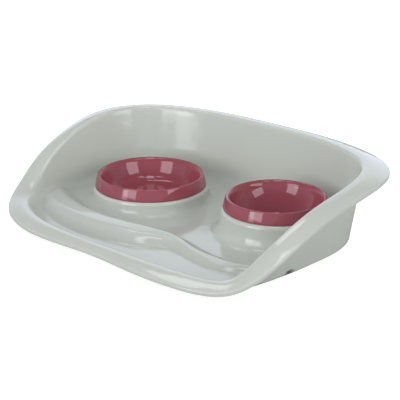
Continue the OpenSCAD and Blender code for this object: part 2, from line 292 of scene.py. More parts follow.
front_share = [
    [-0.95, -0.3], [-0.84, -0.47], [-0.685, -0.57], [-0.52, -0.655], [-0.355, -0.7],
    [-0.19, -0.7], [-0.06, -0.675], [0.04, -0.64], [0.115, -0.56], [0.19, -0.47],
    [0.305, -0.515], [0.435, -0.555], [0.605, -0.605], [0.784, -0.403], [0.919, -0.236],
]
height_share = [
    0.5, 0.62, 0.74, 0.86, 0.95, 1, 0.98, 0.9, 0.76, 0.64, 0.56, 0.52, 0.5, 0.46, 0.42,
]


def slope_share(a):
    """Share of the ridge's height at a: -1 the foot behind, 0 the crest, 1 the front foot."""
    if a < 0:
        return (1 + math.cos(math.pi * a)) / 2
    face = max(0, 1 - (1 - a) / FACE_SHARE)
    return TOP_FALL * (1 - a) + (1 - TOP_FALL) * (1 + math.cos(math.pi * face)) / 2


# %% Surface of the ridge
def ridge_points(t, across, thinner=0.0):
    """Points of the ridge, or of the hollow under it, in rows across by places t along it."""
    lines = (crest_share, back_share, front_share)
    top, back, front = (smooth_blend(np.array(line) * half_tray, t) for line in lines)
    high = smooth_blend(height_share, t) * RIDGE_H - thinner
    rows = []
    for a in across:
        to_foot = (back if a < 0 else front) - top
        long = np.linalg.norm(to_foot, axis=1, keepdims=True)
        xy = top + to_foot * abs(a) * (1 - 1.3 * thinner / long)
        rows.append(np.column_stack([xy, high * (slope_share(a) if abs(a) <= 1 else 0)]))
    return np.array(rows)


def surface_tree(points):
    rows, n = points.shape[:2]
    quads = [
        (j * n + i, j * n + i + 1, (j + 1) * n + i + 1, (j + 1) * n + i)
        for j in range(rows - 1) for i in range(n - 1)
    ]
    return BVHTree.FromPolygons(points.reshape(-1, 3).tolist(), quads)


def heights(tree, xy, beside=0.0):
    """Height of a surface over the floor at each point, or the number for beside it."""
    hits = [tree.ray_cast(Vector((x, y, 99)), Vector((0, 0, -1)))[0] for x, y in xy]
    return np.array([h.z if h else beside for h in hits])


# The ridge runs on into both walls. Its hollow is needed only near the right wall.
ridge = surface_tree(ridge_points(np.linspace(-0.8, 15.2, 321), np.linspace(-1, 1, 61)))
hollow = surface_tree(ridge_points(np.linspace(10, 14, 81), np.linspace(-1, 1, 41), WALL))
samples = heights(ridge, [(-90, -66), (-30, -72), (100, -69)])
print("ridge height at the left, middle and right:", samples.round(1))

# %% [markdown]
# ## The collars
# Each bowl hangs in a round collar: a skirt that flares into the floor, a rounded shoulder,
# and a well with a closed floor. Its outer part is a height that the floor can rise into, as
# the ridge is. Only the steep part from there up is drawn as turned rings.

# %% Bowl and collar sizes
BOWL_T, BOWL_FLOOR_Z = 2.4, 7.5
RIM_STEP = 3.6  # how far the rim lies inside the foot of its band
MOUTH_IN = 4.0  # how far inside the rim the basin's wall begins
CURL, UNDER = 0.75 * BOWL_T, 0.3 * BOWL_T
SHOULDER, SEAT_GAP, WELL_GAP = 1.2, 0.3, 1.2
SIDE_BOW, SIDE_RISE = 0.62, 1.15  # the bow of the CAD's basins, which each well clears
FLARE_CORNER, FLARE_NECK, FLARE_SPLIT = 0.1, 0.08, 0.3  # shares of a flare's width
# The last five keys shape a basin. Its wall leans by lean_rim degrees at the rim and by lean_low
# from the share bent_to of the way down, its round foot begins at the share foot_from, and the
# rounding inside its rim is rim_round deep.
bowls = {
    "water_bowl": dict(
        at=np.array([-0.382 * TRAY_W, 0.148 * TRAY_D]) / 2, skirt_r=60.0, skirt_h=12.4,
        collar_h=18.0, floor_share=0.63, flare=8.0, lean_rim=19.0, lean_low=26.0, bent_to=0.8,
        foot_from=0.6, rim_round=5.0,
    ),
    "food_bowl": dict(
        at=np.array([0.459 * TRAY_W, 0.225 * TRAY_D]) / 2, skirt_r=53.5, skirt_h=12.0,
        collar_h=28.6, floor_share=0.56, flare=13.0, lean_rim=10.0, lean_low=38.0, bent_to=0.7,
        foot_from=0.82, rim_round=5.0,
    ),
}
for b in bowls.values():
    b["rim_r"], b["floor_r"] = b["skirt_r"] - RIM_STEP, b["skirt_r"] * b["floor_share"]
    b["foot"] = b["collar_h"] + SEAT_GAP
    b["top"] = b["foot"] + b["skirt_h"]
    b["out_r"] = b["skirt_r"] + SHOULDER
    lift = (b["collar_h"] + UNDER - BOWL_FLOOR_Z) / (b["top"] - CURL - BOWL_FLOOR_Z)
    basin_r = (b["rim_r"] - BOWL_T - b["floor_r"]) * lift ** (SIDE_BOW / SIDE_RISE)
    b["well_r"] = b["floor_r"] + basin_r + BOWL_T + WELL_GAP
    out_r, flare = b["out_r"], b["flare"]
    flank = bend(
        [out_r + flare, FLOOR_Z], [out_r + flare * FLARE_CORNER, FLOOR_Z],
        [out_r + flare * FLARE_NECK, b["collar_h"] - 3 * SHOULDER], np.linspace(0, 1, 61),
    )
    split = int(np.argmin(np.abs(flank[:, 0] - out_r - FLARE_SPLIT * flare)))
    b["flare_line"], b["steep_line"] = flank[: split + 1], flank[split:]
    b["cut_r"] = flank[split, 0]
for name, b in bowls.items():
    print(name, "well radius:", round(b["well_r"], 1), "hole in the floor:", b["cut_r"].round(1))


def flare_height(xy, b):
    """Height over the floor of the lower, flared part of a collar."""
    far = np.hypot(*(xy - b["at"]).T)
    line = b["flare_line"][::-1]
    high = np.interp(far, line[:, 0], line[:, 1] - FLOOR_Z, right=0)
    return np.where(far < line[-1, 0] + 0.01, high, 0)


# %% [markdown]
# ## The floor
# The floor fills the loop at the foot of the wall, less two round holes for the collars. A
# constrained triangulation keeps the loop and the holes exactly and fills the rest with even
# triangles. All that rises from the floor is joined with a soft maximum, which leaves the
# small fillets that a mould has wherever two forms meet.

# %% Helpers for the floor
def joined(*heights):
    """A soft maximum of heights over the floor: exact where only one of them is above 0."""
    return sum(np.maximum(h, 0) ** 4 for h in heights) ** 0.25


def risen(xy, *others):
    """Height over the floor of the ridge and both collars, joined with other heights."""
    flares = (flare_height(xy, b) for b in bowls.values())
    return joined(*others, heights(ridge, xy), *flares)


def inside_loop(xy, loop):
    x, y = xy[:, 0:1], xy[:, 1:2]
    x1, y1 = loop.T
    x2, y2 = np.roll(loop, -1, 0).T
    crossing = (y1 > y) != (y2 > y)
    with np.errstate(divide="ignore", invalid="ignore"):
        at = (x2 - x1) * (y - y1) / (y2 - y1) + x1
    return (crossing & (x < at)).sum(1) % 2 == 1


def closed_loop(first, count):
    """Pairs of neighbours in a closed loop of numbered points."""
    return [(first + i, first + (i + 1) % count) for i in range(count)]


# %% Points of the floor
SPACING = 2.7
TURNS = 144  # steps round a collar
CLEAR_OF_WALL, CLEAR_OF_RIDGE = 1.8, 1.9
RING_STEPS, CLEAR_OF_COLLAR = (1.1, 2.3, 3.6, 5.0), 6.2
across_ridge = [
    -1.05, -0.97, -0.85, -0.7, -0.55, -0.4, -0.25, -0.12, 0, 0.12, 0.24, 0.34, 0.42, 0.5, 0.58,
    0.66, 0.74, 0.82, 0.89, 0.95, 1, 1.05,
]
around = np.linspace(0, 2 * math.pi, TURNS, endpoint=False)
circle = np.column_stack([np.cos(around), np.sin(around)])
floor_loop = upper_ring[-1, :, :2]


def even_grid():
    """Points of an even grid of triangles over the whole tray."""
    across = np.arange(-190, 190, SPACING)
    rows = enumerate(np.arange(-150, 150, SPACING * math.sqrt(3) / 2))
    return np.array([(x + (SPACING / 2 if j % 2 else 0), y) for j, y in rows for x in across])


def floor_grid():
    """Points along the ridge's lines, rings round the collars, and the grid between them."""
    shrunk = floor_loop + rim_inward(station) * CLEAR_OF_WALL
    along_ridge = ridge_points(np.arange(-0.7, 15.1, 0.1), across_ridge)[..., :2].reshape(-1, 2)
    near = KDTree(len(along_ridge))
    for i, (x, y) in enumerate(along_ridge):
        near.insert((x, y, 0), i)
    near.balance()
    xy = even_grid()
    xy = xy[[near.find((x, y, 0))[2] > CLEAR_OF_RIDGE for x, y in xy]]
    xy = np.concatenate([xy, along_ridge])
    keep = inside_loop(xy, shrunk)
    rings = []
    for b in bowls.values():
        keep &= np.hypot(*(xy - b["at"]).T) > b["cut_r"] + CLEAR_OF_COLLAR
        for k, out in enumerate(RING_STEPS):
            angle = around + 0.5 * (k % 2 == 0) * around[1]
            ring = b["at"] + np.column_stack([np.cos(angle), np.sin(angle)]) * (b["cut_r"] + out)
            rings.append(ring[inside_loop(ring, shrunk)])
    return np.concatenate([xy[keep]] + rings)


cuts = [b["at"] + circle * b["cut_r"] for b in bowls.values()]
floor_xy = np.concatenate([floor_loop] + cuts + [floor_grid()])
print("points on the floor:", len(floor_xy))

# %% Triangles of the floor
n = len(floor_loop)
borders = closed_loop(0, n) + closed_loop(n, TURNS) + closed_loop(n + TURNS, TURNS)
cdt = delaunay_2d_cdt([Vector(p) for p in floor_xy], borders, [], 0, 1e-4)
cdt_xy = np.array([tuple(p) for p in cdt[0]])
cdt_faces = np.array([tuple(f) for f in cdt[2]])
middle = cdt_xy[cdt_faces].mean(1)
wanted = inside_loop(middle, floor_loop)
for b in bowls.values():
    hole_r = b["cut_r"] * math.cos(math.pi / TURNS) - 0.01
    wanted &= np.hypot(*(middle - b["at"]).T) > hole_r
floor_faces = cdt_faces[wanted]
print("triangles on the floor:", len(floor_faces))

# %% Heights of the floor and of what it rises into
NO_HOLLOW, NOTCH_FROM_X = -9, 120
floor_top = np.column_stack([cdt_xy, FLOOR_Z + risen(cdt_xy)])

low_rows = slice(-FOOT_ROWS - WALL_ROWS, None)
wall_part = upper_ring[low_rows].reshape(-1, 3)
wall_part[:, 2] = FLOOR_Z + risen(wall_part[:, :2], wall_part[:, 2] - FLOOR_Z)
upper_ring[low_rows] = wall_part.reshape(upper_ring[low_rows].shape)

# The ridge is hollow from below, and its hollow comes out as a notch in the right wall.
wall_under = under_ring[low_rows].reshape(-1, 3)
hollow_top = heights(hollow, wall_under[:, :2], beside=NO_HOLLOW)
near_floor = np.arange(len(wall_under)) >= len(wall_under) - 2 * len(station)
notch = (wall_under[:, 0] > NOTCH_FROM_X) & (hollow_top > NO_HOLLOW) & ~near_floor
notch_z = FLOOR_Z + np.maximum(hollow_top[notch], 0)
wall_under[notch, 2] = np.maximum(wall_under[notch, 2], notch_z)
# In the two rows beside the floor the ridge's own underside is taken, so there is no step.
wall_under[near_floor, 2] = BASE_Z + heights(ridge, wall_under[near_floor, :2])
under_ring[low_rows] = wall_under.reshape(under_ring[low_rows].shape)
print("points raised for the notch:", int(notch.sum()))


# %% [markdown]
# ## Putting the tray together
# The upper side is one mesh of three kinds of patches: the rim's rows, the floor's triangles
# and the turned collars. The underside is the same mesh again, set back along its normals by
# the wall's thickness, apart from the rows that were drawn for it. A Solidify modifier would
# thicken an even shell, but can't draw the crisp outer foot and the notch. Faces along the lip
# close the two sides into one solid skin.

# %% Patches of the upper side
def grid_quads(rows, columns):
    """Faces of a grid whose rows are closed rings."""
    quads = []
    for j in range(rows - 1):
        low, high = j * columns, (j + 1) * columns
        for a, b in closed_loop(0, columns):
            quads.append((low + a, low + b, high + b, high + a))
    return quads


def collar_rows(b):
    """Radius and height from the cut over the shoulder and down to the middle of the well."""
    neck, out_r, hole_r, h = b["steep_line"][-1], b["out_r"], b["well_r"], b["collar_h"]
    round_in = 2.5
    line = list(b["steep_line"][::4])
    if not np.allclose(line[-1], neck):
        line.append(neck)
    line += list(bend(neck, [out_r, h], [out_r - 2 * SHOULDER, h], np.linspace(0, 1, 9)[1:]))
    edge_ends = [hole_r + SHOULDER, h], [hole_r, h], [hole_r, h - SHOULDER]
    line += list(bend(*edge_ends, np.linspace(0, 1, 6)))
    line += [np.array([hole_r, h * s + FLOOR_Z * (1 - s)]) for s in (0.75, 0.5, 0.3)]
    foot_ends = [hole_r, FLOOR_Z + round_in], [hole_r, FLOOR_Z], [hole_r - round_in, FLOOR_Z]
    line += list(bend(*foot_ends, np.linspace(0, 1, 6)))
    line += [np.array([hole_r * s, FLOOR_Z]) for s in (0.8, 0.55, 0.3, 0.1)]
    return np.array(line)


points, polys = [], []


def add_patch(new_points, new_polys):
    first = len(points)
    points.extend(np.asarray(new_points, float).reshape(-1, 3).tolist())
    polys.extend([tuple(i + first for i in f) for f in new_polys])
    return first


add_patch(upper_ring, grid_quads(len(upper_ring), len(station)))
borders_at = [(len(upper_ring) - 1) * len(station)]
for b in bowls.values():
    line = collar_rows(b)
    rings = [np.column_stack([b["at"] + circle * r, np.full(TURNS, z)]) for r, z in line]
    start = add_patch(rings, grid_quads(len(line), TURNS))
    borders_at.append(start)
    last = start + (len(line) - 1) * TURNS
    points.append([*b["at"], FLOOR_Z])
    polys.extend([(i, j, len(points) - 1) for i, j in closed_loop(last, TURNS)])

# A floor point that is also a point of the wall's foot or of a collar is taken from there.
place = []
for p, origins in zip(floor_top, cdt[3]):
    known = [i for i in origins if i < n + 2 * TURNS]
    if not known:
        points.append(p.tolist())
        place.append(len(points) - 1)
    elif known[0] < n:
        place.append(borders_at[0] + known[0])
    else:
        which, turn_at = divmod(known[0] - n, TURNS)
        place.append(borders_at[1 + which] + turn_at)
polys.extend([tuple(place[i] for i in f) for f in floor_faces])
points = np.array(points)
print("upper side:", len(points), "points,", len(polys), "faces")


# %% Add the underside
def new_object(name, places, polygons, edges=()):
    """A new mesh object from places in mm."""
    mesh = bpy.data.meshes.new(name)
    mesh.from_pydata([tuple(float(c) * MM for c in p) for p in places], edges, polygons)
    obj = bpy.data.objects.new(name, mesh)
    bpy.context.scene.collection.objects.link(obj)
    return obj


upper = new_object("upper_side", points, polys)
normals = np.array([tuple(v.normal) for v in upper.data.vertices])
bpy.data.objects.remove(upper)
# Where the ridge runs narrow into the right wall, its underside is set straight down, as a
# wall's thickness along its normals would make it cross itself.
STRAIGHT_FROM_X, STRAIGHT_OVER, COLLAR_FADE = 105, 20, 8
food = bowls["food_bowl"]
past_collar = np.hypot(*(points[:, :2] - food["at"]).T) - food["cut_r"]
straight = np.clip((points[:, 0] - STRAIGHT_FROM_X) / STRAIGHT_OVER, 0, 1)
straight *= np.clip(past_collar / COLLAR_FADE, 0, 1)
direction = normals * (1 - straight)[:, None] + straight[:, None] * [0, 0, 1]
direction /= np.linalg.norm(direction, axis=1, keepdims=True)
under = points - direction * FLOOR_T
LEVEL = 0.9995  # how upright a normal is where the skin counts as level
level = np.abs(normals[:, 2]) > LEVEL
under[level, 2] = points[level, 2] - FLOOR_T
drawn = len(upper_ring) * len(station)
under[:drawn] = under_ring.reshape(-1, 3)
edges_used = {(i, j) for f in polys for i, j in zip(f, f[1:] + f[:1])}
lip_edges = [(i, j) for i, j in edges_used if (j, i) not in edges_used]
skin = polys + [tuple(i + len(points) for i in f[::-1]) for f in polys]
skin += [(j, i, i + len(points), j + len(points)) for i, j in lip_edges]
tray = new_object("tray_skin", np.concatenate([points, under]), skin)
print("edges closed at the lip:", len(lip_edges))


# %% [markdown]
# Smooth shading carries the gloss over the facets. Edges that turn by more than 38 degrees
# stay crisp, such as the ends of the notch.

# %% Shade the tray
def smooth(obj, degrees):
    obj.data.polygons.foreach_set("use_smooth", [True] * len(obj.data.polygons))
    obj.data.set_sharp_from_angle(angle=math.radians(degrees))


def outwards(obj):
    """Turns the faces outwards, and prints whether the mesh is closed, and its size."""
    bm = bmesh.new()
    bm.from_mesh(obj.data)
    bmesh.ops.recalc_face_normals(bm, faces=bm.faces)
    if bm.calc_volume(signed=True) < 0:
        bmesh.ops.reverse_faces(bm, faces=bm.faces)
    closed = all(e.is_manifold for e in bm.edges)
    triangles = sum(len(f.verts) - 2 for f in bm.faces)
    volume = round(bm.calc_volume() * 1e6, 1)
    print(obj.name, "closed:", closed, "volume in cm3:", volume, "triangles:", triangles)
    bm.to_mesh(obj.data)
    bm.free()


outwards(tray)
smooth(tray, 38)

# %% [markdown]
# ## The bowls
# Each bowl is one turned moulding: a basin, a rounded rim and a skirt that is folded down
# outside it and stands on the collar. A turned shape follows one rule, so a Geometry Nodes
# tree makes it: a circle is swept with the section, and the points on the axis are merged.
# The sweep lays a section's first number outwards and its second one downwards.

# %% Section of a bowl
def basin_side(b, steps=33):
    """The basin's wall from its floor to its rim: it leans out more as it goes down, to a bend."""
    rim_z = b["top"] - CURL
    high = rim_z - BOWL_FLOOR_Z
    down = np.linspace(0, b["foot_from"], steps)
    bent = np.sin(np.pi / 2 * np.clip(down / b["bent_to"], 0, 1))
    lean = np.radians(b["lean_rim"] + (b["lean_low"] - b["lean_rim"]) * bent)
    run = np.cumsum(np.tan((lean[1:] + lean[:-1]) / 2)) * high * down[1]
    run = np.concatenate([[0], run])
    side = np.column_stack([b["rim_r"] - MOUTH_IN - run, rim_z - high * down])[::-1]
    wall_r, wall_z = side[0]
    corner = np.array([wall_r - (wall_z - BOWL_FLOOR_Z) * math.tan(lean[-1]), BOWL_FLOOR_Z])
    end = corner - [np.hypot(*(side[0] - corner)), 0]
    return np.concatenate([bend(end, corner, side[0], np.linspace(0, 1, 16)[:-1]), side])


def basin_outside(side, stand_r):
    """The outside of the basin's wall, from under the rim down to the stand ring."""
    along = np.gradient(side, axis=0)
    along /= np.linalg.norm(along, axis=1, keepdims=True)
    outer = side + BOWL_T * np.column_stack([along[:, 1], -along[:, 0]])
    outer = outer[-7::-2]
    return outer[outer[:, 0] > stand_r + 2.2]


def bowl_section(b):
    """Radius and height, from the middle of the basin over the rim to that of the underside."""
    top, foot_z, skirt_r, rim_r, stand_r = (
        b[key] for key in ("top", "foot", "skirt_r", "rim_r", "floor_r")
    )
    under_z, stand_z = BOWL_FLOOR_Z - BOWL_T, BOWL_FLOOR_Z - BOWL_T - 2 * UNDER
    side = basin_side(b)
    wall = side[side[:, 1] < top - b["rim_round"]]
    lip = np.array([rim_r - 0.4, top])
    shoulder = np.array([rim_r + 0.95, top - 1.7])
    band_foot = np.array([skirt_r, foot_z + 0.5])
    band_middle = (shoulder + band_foot) / 2 + [0.3, 0.1]
    inner_r = skirt_r - BOWL_T
    inner_foot, inner_middle = [inner_r, foot_z], [inner_r, foot_z + b["skirt_h"] / 2]
    # Inside, the rim is one broad rounding: it catches the lamp overhead in a short stroke.
    up = wall[-1] - wall[-2]
    corner = wall[-1] + up * (top - 0.15 - wall[-1, 1]) / up[1]
    under_rim = [rim_r - UNDER, top - 2 * CURL]
    return np.concatenate([
        [[side[0, 0] * share, BOWL_FLOOR_Z] for share in (0, 0.3, 0.6, 0.85)],
        wall,
        bend(wall[-1], corner, lip, np.linspace(0, 1, 16)[1:]),
        bend(lip, [rim_r + 0.5, top], shoulder, np.linspace(0, 1, 8)[1:]),
        bend(shoulder, band_middle, band_foot, np.linspace(0, 1, 12)[1:]),
        [[skirt_r - 0.15, foot_z + 0.12], [skirt_r - 0.5, foot_z], [inner_r + 0.4, foot_z]],
        bend(inner_foot, inner_middle, under_rim, np.linspace(0, 1, 8)),
        basin_outside(side, stand_r),
        [[stand_r + 1.2, stand_z + 1.3], [stand_r + 0.5, stand_z + 0.4], [stand_r, stand_z]],
        [[stand_r - BOWL_T, stand_z], [stand_r - 1.5 * BOWL_T, under_z]],
        [[stand_r * 0.5, under_z], [0, under_z]],
    ])


# %% Tree that turns a section
def add_sockets(group, in_out, kinds):
    """Adds inputs or outputs to a node group, and gives their identifiers by name."""
    new = group.interface.new_socket
    return {
        name: new(name, in_out=in_out, socket_type="NodeSocket" + kind).identifier
        for name, kind in kinds.items()
    }


def turning_tree():
    tree = bpy.data.node_groups.new("turned_section", "GeometryNodeTree")
    sockets = add_sockets(tree, "INPUT", {
        "Section": "Geometry", "Radius": "Float", "Steps": "Int", "Middle": "Vector",
        "Finish": "Material",
    })
    add_sockets(tree, "OUTPUT", {"Turned": "Geometry"})
    node, link = tree.nodes.new, tree.links.new
    given, result = node("NodeGroupInput"), node("NodeGroupOutput")
    section, ring = node("GeometryNodeMeshToCurve"), node("GeometryNodeCurvePrimitiveCircle")
    sweep, merge = node("GeometryNodeCurveToMesh"), node("GeometryNodeMergeByDistance")
    move, real = node("GeometryNodeTransform"), node("GeometryNodeRealizeInstances")
    finish = node("GeometryNodeSetMaterial")
    merge.inputs["Distance"].default_value = 2e-6
    link(given.outputs["Section"], section.inputs["Mesh"])
    link(given.outputs["Radius"], ring.inputs["Radius"])
    link(given.outputs["Steps"], ring.inputs["Resolution"])
    link(ring.outputs["Curve"], sweep.inputs["Curve"])
    link(section.outputs["Curve"], sweep.inputs["Profile Curve"])
    link(sweep.outputs["Mesh"], merge.inputs["Geometry"])
    link(merge.outputs["Geometry"], move.inputs["Geometry"])
    link(given.outputs["Middle"], move.inputs["Translation"])
    link(move.outputs["Geometry"], real.inputs["Geometry"])
    link(real.outputs["Geometry"], finish.inputs["Geometry"])
    link(given.outputs["Finish"], finish.inputs["Material"])
    link(finish.outputs["Geometry"], result.inputs["Turned"])
    return tree, sockets


turn_tree, turn_sockets = turning_tree()
print("nodes in the turning tree:", len(turn_tree.nodes))


# %% Run a tree and keep its result
def baked(obj, name):
    """The evaluated result of obj's modifiers as a plain mesh object; obj is removed."""
    evaluated = obj.evaluated_get(bpy.context.evaluated_depsgraph_get())
    out = bpy.data.objects.new(name, bpy.data.meshes.new_from_object(evaluated))
    bpy.context.scene.collection.objects.link(out)
    bpy.data.objects.remove(obj)
    return out


def run_tree(obj, tree, sockets, **values):
    """Puts a Geometry Nodes tree on obj and sets its named inputs."""
    modifier = obj.modifiers.new("tree", "NODES")
    modifier.node_group = tree
    for name, value in values.items():
        modifier[sockets[name]] = value


def turned(name, section, middle, steps, finish):
    """Turns a section of radius and height round a vertical line through middle."""
    radius = float(section[:, 0].max())
    flat_section = [(r - radius, -z, 0) for r, z in section]
    line = [(i, i + 1) for i in range(len(section) - 1)]
    obj = new_object(name + "_section", flat_section, [], line)
    middle = (middle[0] * MM, middle[1] * MM, 0.0)
    run_tree(
        obj, turn_tree, turn_sockets,
        Radius=radius * MM, Steps=steps, Middle=middle, Finish=finish,
    )
    out = baked(obj, name)
    outwards(out)
    return out


# %% [markdown]
# ## Finishes
# Moulded plastic is never one flat colour. Its pigment is slightly cloudy, its gloss varies
# where it was handled and wiped, and its skin has the faint waviness of the mould. One node
# group makes these effects, and every material places it with its own amounts.

# %% Group for a moulded skin
def feed(tree, socket, value):
    """Gives a socket a number, or links another node's output to it."""
    if isinstance(value, float):
        socket.default_value = value
    else:
        tree.links.new(value, socket)


def moulded_skin_group():
    group = bpy.data.node_groups.new("moulded_skin", "ShaderNodeTree")
    add_sockets(group, "INPUT", {
        "Pigment": "Color", "Cloud": "Color", "Cloud Size": "Float", "Gloss Low": "Float",
        "Gloss High": "Float", "Wave Size": "Float", "Scratch Amount": "Float",
    })
    add_sockets(group, "OUTPUT", {"Color": "Color", "Roughness": "Float", "Height": "Float"})
    node, link = group.nodes.new, group.links.new
    given, result = node("NodeGroupInput"), node("NodeGroupOutput")
    where = node("ShaderNodeTexCoord")

    def noise(scale, detail):
        n = node("ShaderNodeTexNoise")
        n.inputs["Detail"].default_value = detail
        link(where.outputs["Object"], n.inputs["Vector"])
        feed(group, n.inputs["Scale"], scale)
        return n.outputs["Fac"]

    def math_node(operation, *values):
        n = node("ShaderNodeMath")
        n.operation = operation
        for socket, value in zip(n.inputs, values):
            feed(group, socket, value)
        return n.outputs[0]

    def mixed(first, first_share, second, second_share):
        """The sum of two values, each times its share."""
        first = math_node("MULTIPLY", first, first_share)
        second = math_node("MULTIPLY", second, second_share)
        return math_node("ADD", first, second)

    cloud = noise(given.outputs["Cloud Size"], 4.0)
    speck = noise(900.0, 2.0)
    tinted = node("ShaderNodeMix")
    tinted.data_type = "RGBA"
    link(mixed(cloud, 0.8, speck, 0.2), tinted.inputs[0])
    link(given.outputs["Pigment"], tinted.inputs[6])
    link(given.outputs["Cloud"], tinted.inputs[7])
    link(tinted.outputs[2], result.inputs["Color"])

    # Fine wiping marks: noise drawn out along one direction.
    stretch = node("ShaderNodeMapping")
    stretch.inputs["Scale"].default_value = (60, 900, 60)
    stretch.inputs["Rotation"].default_value = (0, 0, 0.5)
    link(where.outputs["Object"], stretch.inputs["Vector"])
    marks = node("ShaderNodeTexNoise")
    marks.inputs["Scale"].default_value, marks.inputs["Detail"].default_value = 1.0, 3.0
    link(stretch.outputs["Vector"], marks.inputs["Vector"])
    mark_mask = node("ShaderNodeMapRange")
    mark_mask.inputs["From Min"].default_value = 0.6
    mark_mask.inputs["From Max"].default_value = 0.75
    link(marks.outputs["Fac"], mark_mask.inputs["Value"])
    gloss = node("ShaderNodeMapRange")
    link(noise(22.0, 3.0), gloss.inputs["Value"])
    link(given.outputs["Gloss Low"], gloss.inputs["To Min"])
    link(given.outputs["Gloss High"], gloss.inputs["To Max"])
    scratches = math_node("MULTIPLY", mark_mask.outputs["Result"], given.outputs["Scratch Amount"])
    link(math_node("ADD", gloss.outputs["Result"], scratches), result.inputs["Roughness"])

    wave = noise(given.outputs["Wave Size"], 1.0)
    grain = noise(1600.0, 2.0)
    link(mixed(wave, 0.9, grain, 0.012), result.inputs["Height"])
    return group


skin_group = moulded_skin_group()
print("nodes in the moulded skin:", len(skin_group.nodes))


# %% Finishes made with it
def new_material(name):
    """A new material, its node tree and the shader in it."""
    material = bpy.data.materials.new(name)
    material.use_nodes = True
    return material, material.node_tree, material.node_tree.nodes["Principled BSDF"]


def moulded(name, pigment, cloud, gloss, bump, wave_size, scratches):
    """A plastic or rubber finish made with the moulded skin group; bump is in mm."""
    material, tree, shader = new_material(name)
    skin = tree.nodes.new("ShaderNodeGroup")
    skin.node_tree = skin_group
    for socket, value in (
        ("Pigment", (*pigment, 1)), ("Cloud", (*cloud, 1)), ("Cloud Size", 14.0),
        ("Gloss Low", gloss[0]), ("Gloss High", gloss[1]), ("Wave Size", wave_size),
        ("Scratch Amount", scratches),
    ):
        skin.inputs[socket].default_value = value
    bump_node = tree.nodes.new("ShaderNodeBump")
    bump_node.inputs["Strength"].default_value = 1.0
    bump_node.inputs["Distance"].default_value = bump * MM
    tree.links.new(skin.outputs["Height"], bump_node.inputs["Height"])
    tree.links.new(skin.outputs["Color"], shader.inputs["Base Color"])
    tree.links.new(skin.outputs["Roughness"], shader.inputs["Roughness"])
    tree.links.new(bump_node.outputs["Normal"], shader.inputs["Normal"])
    shader.inputs["IOR"].default_value = 1.5
    return material


tray_finish = moulded(
    "tray_plastic", pigment=(0.435, 0.465, 0.43), cloud=(0.47, 0.5, 0.46),
    gloss=(0.08, 0.13), bump=0.3, wave_size=55.0, scratches=0.06,
)
bowl_finish = moulded(
    "bowl_plastic", pigment=(0.235, 0.05, 0.07), cloud=(0.27, 0.06, 0.082),
    gloss=(0.04, 0.08), bump=0.12, wave_size=40.0, scratches=0.03,
)
rubber_finish = moulded(
    "foot_rubber", pigment=(0.02, 0.02, 0.02), cloud=(0.035, 0.034, 0.033),
    gloss=(0.6, 0.8), bump=1.2, wave_size=300.0, scratches=0.06,
)
print("finishes:", [m.name for m in (tray_finish, bowl_finish, rubber_finish)])

# %% Turn the bowls and put their finish on
BOWL_STEPS = 160
tray.data.materials.append(tray_finish)
turned_bowls = {}
for name, b in bowls.items():
    section = bowl_section(b)
    turned_bowls[name] = turned(name + "_turned", section, b["at"], BOWL_STEPS, bowl_finish)
    smooth(turned_bowls[name], 42)

# %% [markdown]
# ## The rubber feet
# Four small rubber feet sit in shallow recesses under the floor. They are hidden in use, but
# show when the tray is turned over. One foot is turned from its section, with a dished face
# that grips the floor, and a second tree sets it on the four places.

# %% Tree that sets one shape on points
def setting_tree():
    tree = bpy.data.node_groups.new("set_on_places", "GeometryNodeTree")
    sockets = add_sockets(tree, "INPUT", {
        "Places": "Geometry", "Shape": "Object", "Size": "Float", "Finish": "Material",
    })
    add_sockets(tree, "OUTPUT", {"Set": "Geometry"})
    node, link = tree.nodes.new, tree.links.new
    given, result = node("NodeGroupInput"), node("NodeGroupOutput")
    shape, put = node("GeometryNodeObjectInfo"), node("GeometryNodeInstanceOnPoints")
    real, finish = node("GeometryNodeRealizeInstances"), node("GeometryNodeSetMaterial")
    link(given.outputs["Shape"], shape.inputs["Object"])
    link(given.outputs["Places"], put.inputs["Points"])
    link(shape.outputs["Geometry"], put.inputs["Instance"])
    link(given.outputs["Size"], put.inputs["Scale"])
    link(put.outputs["Instances"], real.inputs["Geometry"])
    link(real.outputs["Geometry"], finish.inputs["Geometry"])
    link(given.outputs["Finish"], finish.inputs["Material"])
    link(finish.outputs["Geometry"], result.inputs["Set"])
    return tree, sockets


set_tree, set_sockets = setting_tree()
print("nodes in the setting tree:", len(set_tree.nodes))

# %% Turn one foot and set it four times
PAD_R, PAD_T = 6.0, 2.0
pad_section = np.array([
    [0, 0.35], [3.6, 0.35], [4.0, 0.05], [4.3, 0], [PAD_R - 0.5, 0], [PAD_R - 0.12, 0.12],
    [PAD_R, 0.5], [PAD_R, PAD_T - 0.1], [PAD_R - 0.1, PAD_T], [0, PAD_T],
])
one_pad = turned("one_pad", pad_section, (0, 0), 48, rubber_finish)
pad_places = np.array([[-0.67, 0.5], [0.34, 0.68], [-0.38, -0.755], [0.6, -0.73]]) * half_tray
pads = new_object("pad_places", [(x, y, 0) for x, y in pad_places], [])
run_tree(pads, set_tree, set_sockets, Shape=one_pad, Size=1.0, Finish=rubber_finish)
feet = baked(pads, "feet_rubber")
bpy.data.objects.remove(one_pad)
outwards(feet)
smooth(feet, 40)

# %% [markdown]
# ## Pieces on their bodies
# The tray and its feet stay still, and each bowl rides on its own body, so it lifts out when
# its joint moves. Each piece stands for the CAD node of the same part, and the CAD nodes get
# the same finishes.

